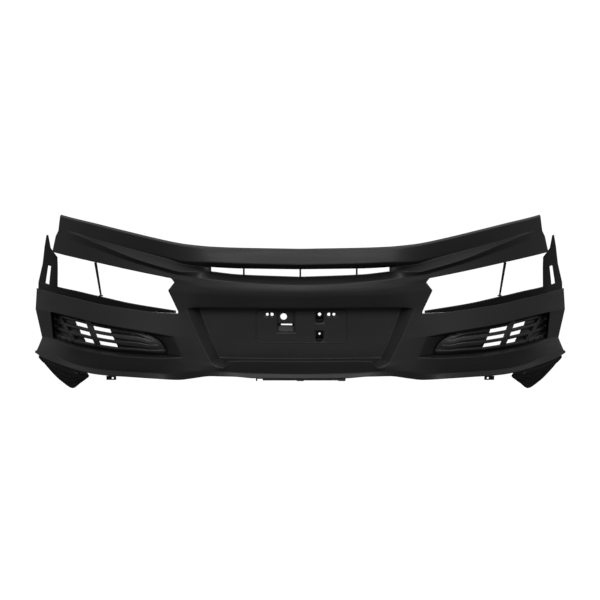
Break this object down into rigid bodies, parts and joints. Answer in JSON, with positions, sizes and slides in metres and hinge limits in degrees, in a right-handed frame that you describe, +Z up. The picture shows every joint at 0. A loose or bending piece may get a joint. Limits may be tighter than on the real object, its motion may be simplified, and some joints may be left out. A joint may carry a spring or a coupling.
{
  "type": "bumper cover",
  "caption": "Rear bumper cover with a tapering top band, tail-lamp openings, upper slot, framed plate recess, side vent grilles and a lower lip.",
  "frame": {"origin": "middle of the cover's bounding box in X and Y, at the height of the lowest point of the corner closeouts", "axes": "+X to the right as seen from behind the car, +Y forward into the car, +Z up; the visible outer face looks along -Y"},
  "size_m": [1.934, 0.5082, 0.638],
  "materials": {
    "skin_plastic": "satin black moulded plastic",
    "black_plastic": "fine grained black plastic",
    "grille_plastic": "textured black plastic",
    "screw_black": "black zinc",
    "retainer_plastic": "dark nylon",
    "strip_plastic": "dark grey plastic",
    "clip_steel": "zinc plated spring steel"
  },
  "bodies": {
    "cover": {"bumper_skin": "skin_plastic", "slot_insert": "black_plastic", "lower_strip": "strip_plastic", "strip_clip_centre": "clip_steel", "strip_clip_right": "clip_steel", "lamp_frame_left": "black_plastic", "lamp_strut_left": "black_plastic", "vent_grille_left": "grille_plastic", "grille_screw_left_1": "screw_black", "grille_screw_left_2": "screw_black", "grille_screw_left_3": "screw_black", "corner_closeout_left": "black_plastic", "retainer_sleeve_left": "retainer_plastic", "lower_bracket_left": "black_plastic", "lamp_frame_right": "black_plastic", "lamp_strut_right": "black_plastic", "vent_grille_right": "grille_plastic", "grille_screw_right_1": "screw_black", "grille_screw_right_2": "screw_black", "grille_screw_right_3": "screw_black", "corner_closeout_right": "black_plastic", "retainer_sleeve_right": "retainer_plastic", "lower_bracket_right": "black_plastic"},
    "pin_left": {"retainer_pin_left": "retainer_plastic"},
    "pin_right": {"retainer_pin_right": "retainer_plastic"}
  },
  "joints": [
    {"name": "pin_left_slide", "type": "slide", "parent": "cover", "child": "pin_left", "axis": [-0.384, -0.3946, -0.8348], "range_m": [0, 0.006]},
    {"name": "pin_right_slide", "type": "slide", "parent": "cover", "child": "pin_right", "axis": [0.384, -0.3946, -0.8348], "range_m": [0, 0.006]}
  ]
}
